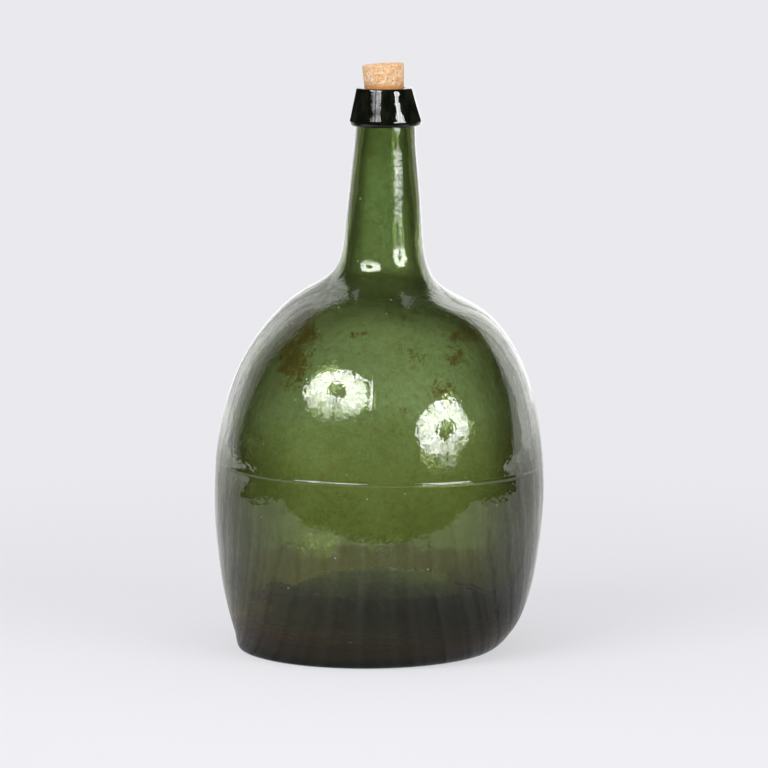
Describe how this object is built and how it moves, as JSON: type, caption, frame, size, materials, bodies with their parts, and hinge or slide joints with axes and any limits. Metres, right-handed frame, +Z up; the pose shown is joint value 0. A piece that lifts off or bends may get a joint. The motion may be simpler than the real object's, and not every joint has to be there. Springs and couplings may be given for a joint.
{
  "type": "demijohn",
  "caption": "Green blown-glass demijohn with a push-up base, raised mould seams, a long tapering neck, a dark applied collar and a tapered cork that pulls out.",
  "frame": {"origin": "centre of the bounding box's bottom face, on the surface that the bearing ring stands on", "axes": "+Z up along the neck, -Y towards the front, where the upright mould seam is, +X to the right seen from the front"},
  "size_m": [0.259, 0.2588, 0.4596],
  "materials": {
    "bottle_glass": "transparent green bottle glass, slightly rippled, with seeds and a brown film inside the foot",
    "collar_glass": "thick green glass that looks nearly black, fire-polished",
    "cork": "matt agglomerated cork with dark specks"
  },
  "bodies": {
    "bottle": {"glass_body": "bottle_glass", "applied_lip": "collar_glass"},
    "cork": {"cork_stopper": "cork"}
  },
  "joints": [
    {"name": "cork_pull", "type": "slide", "parent": "bottle", "child": "cork", "axis": [0, 0, 1], "range_m": [0, 0.06]}
  ]
}
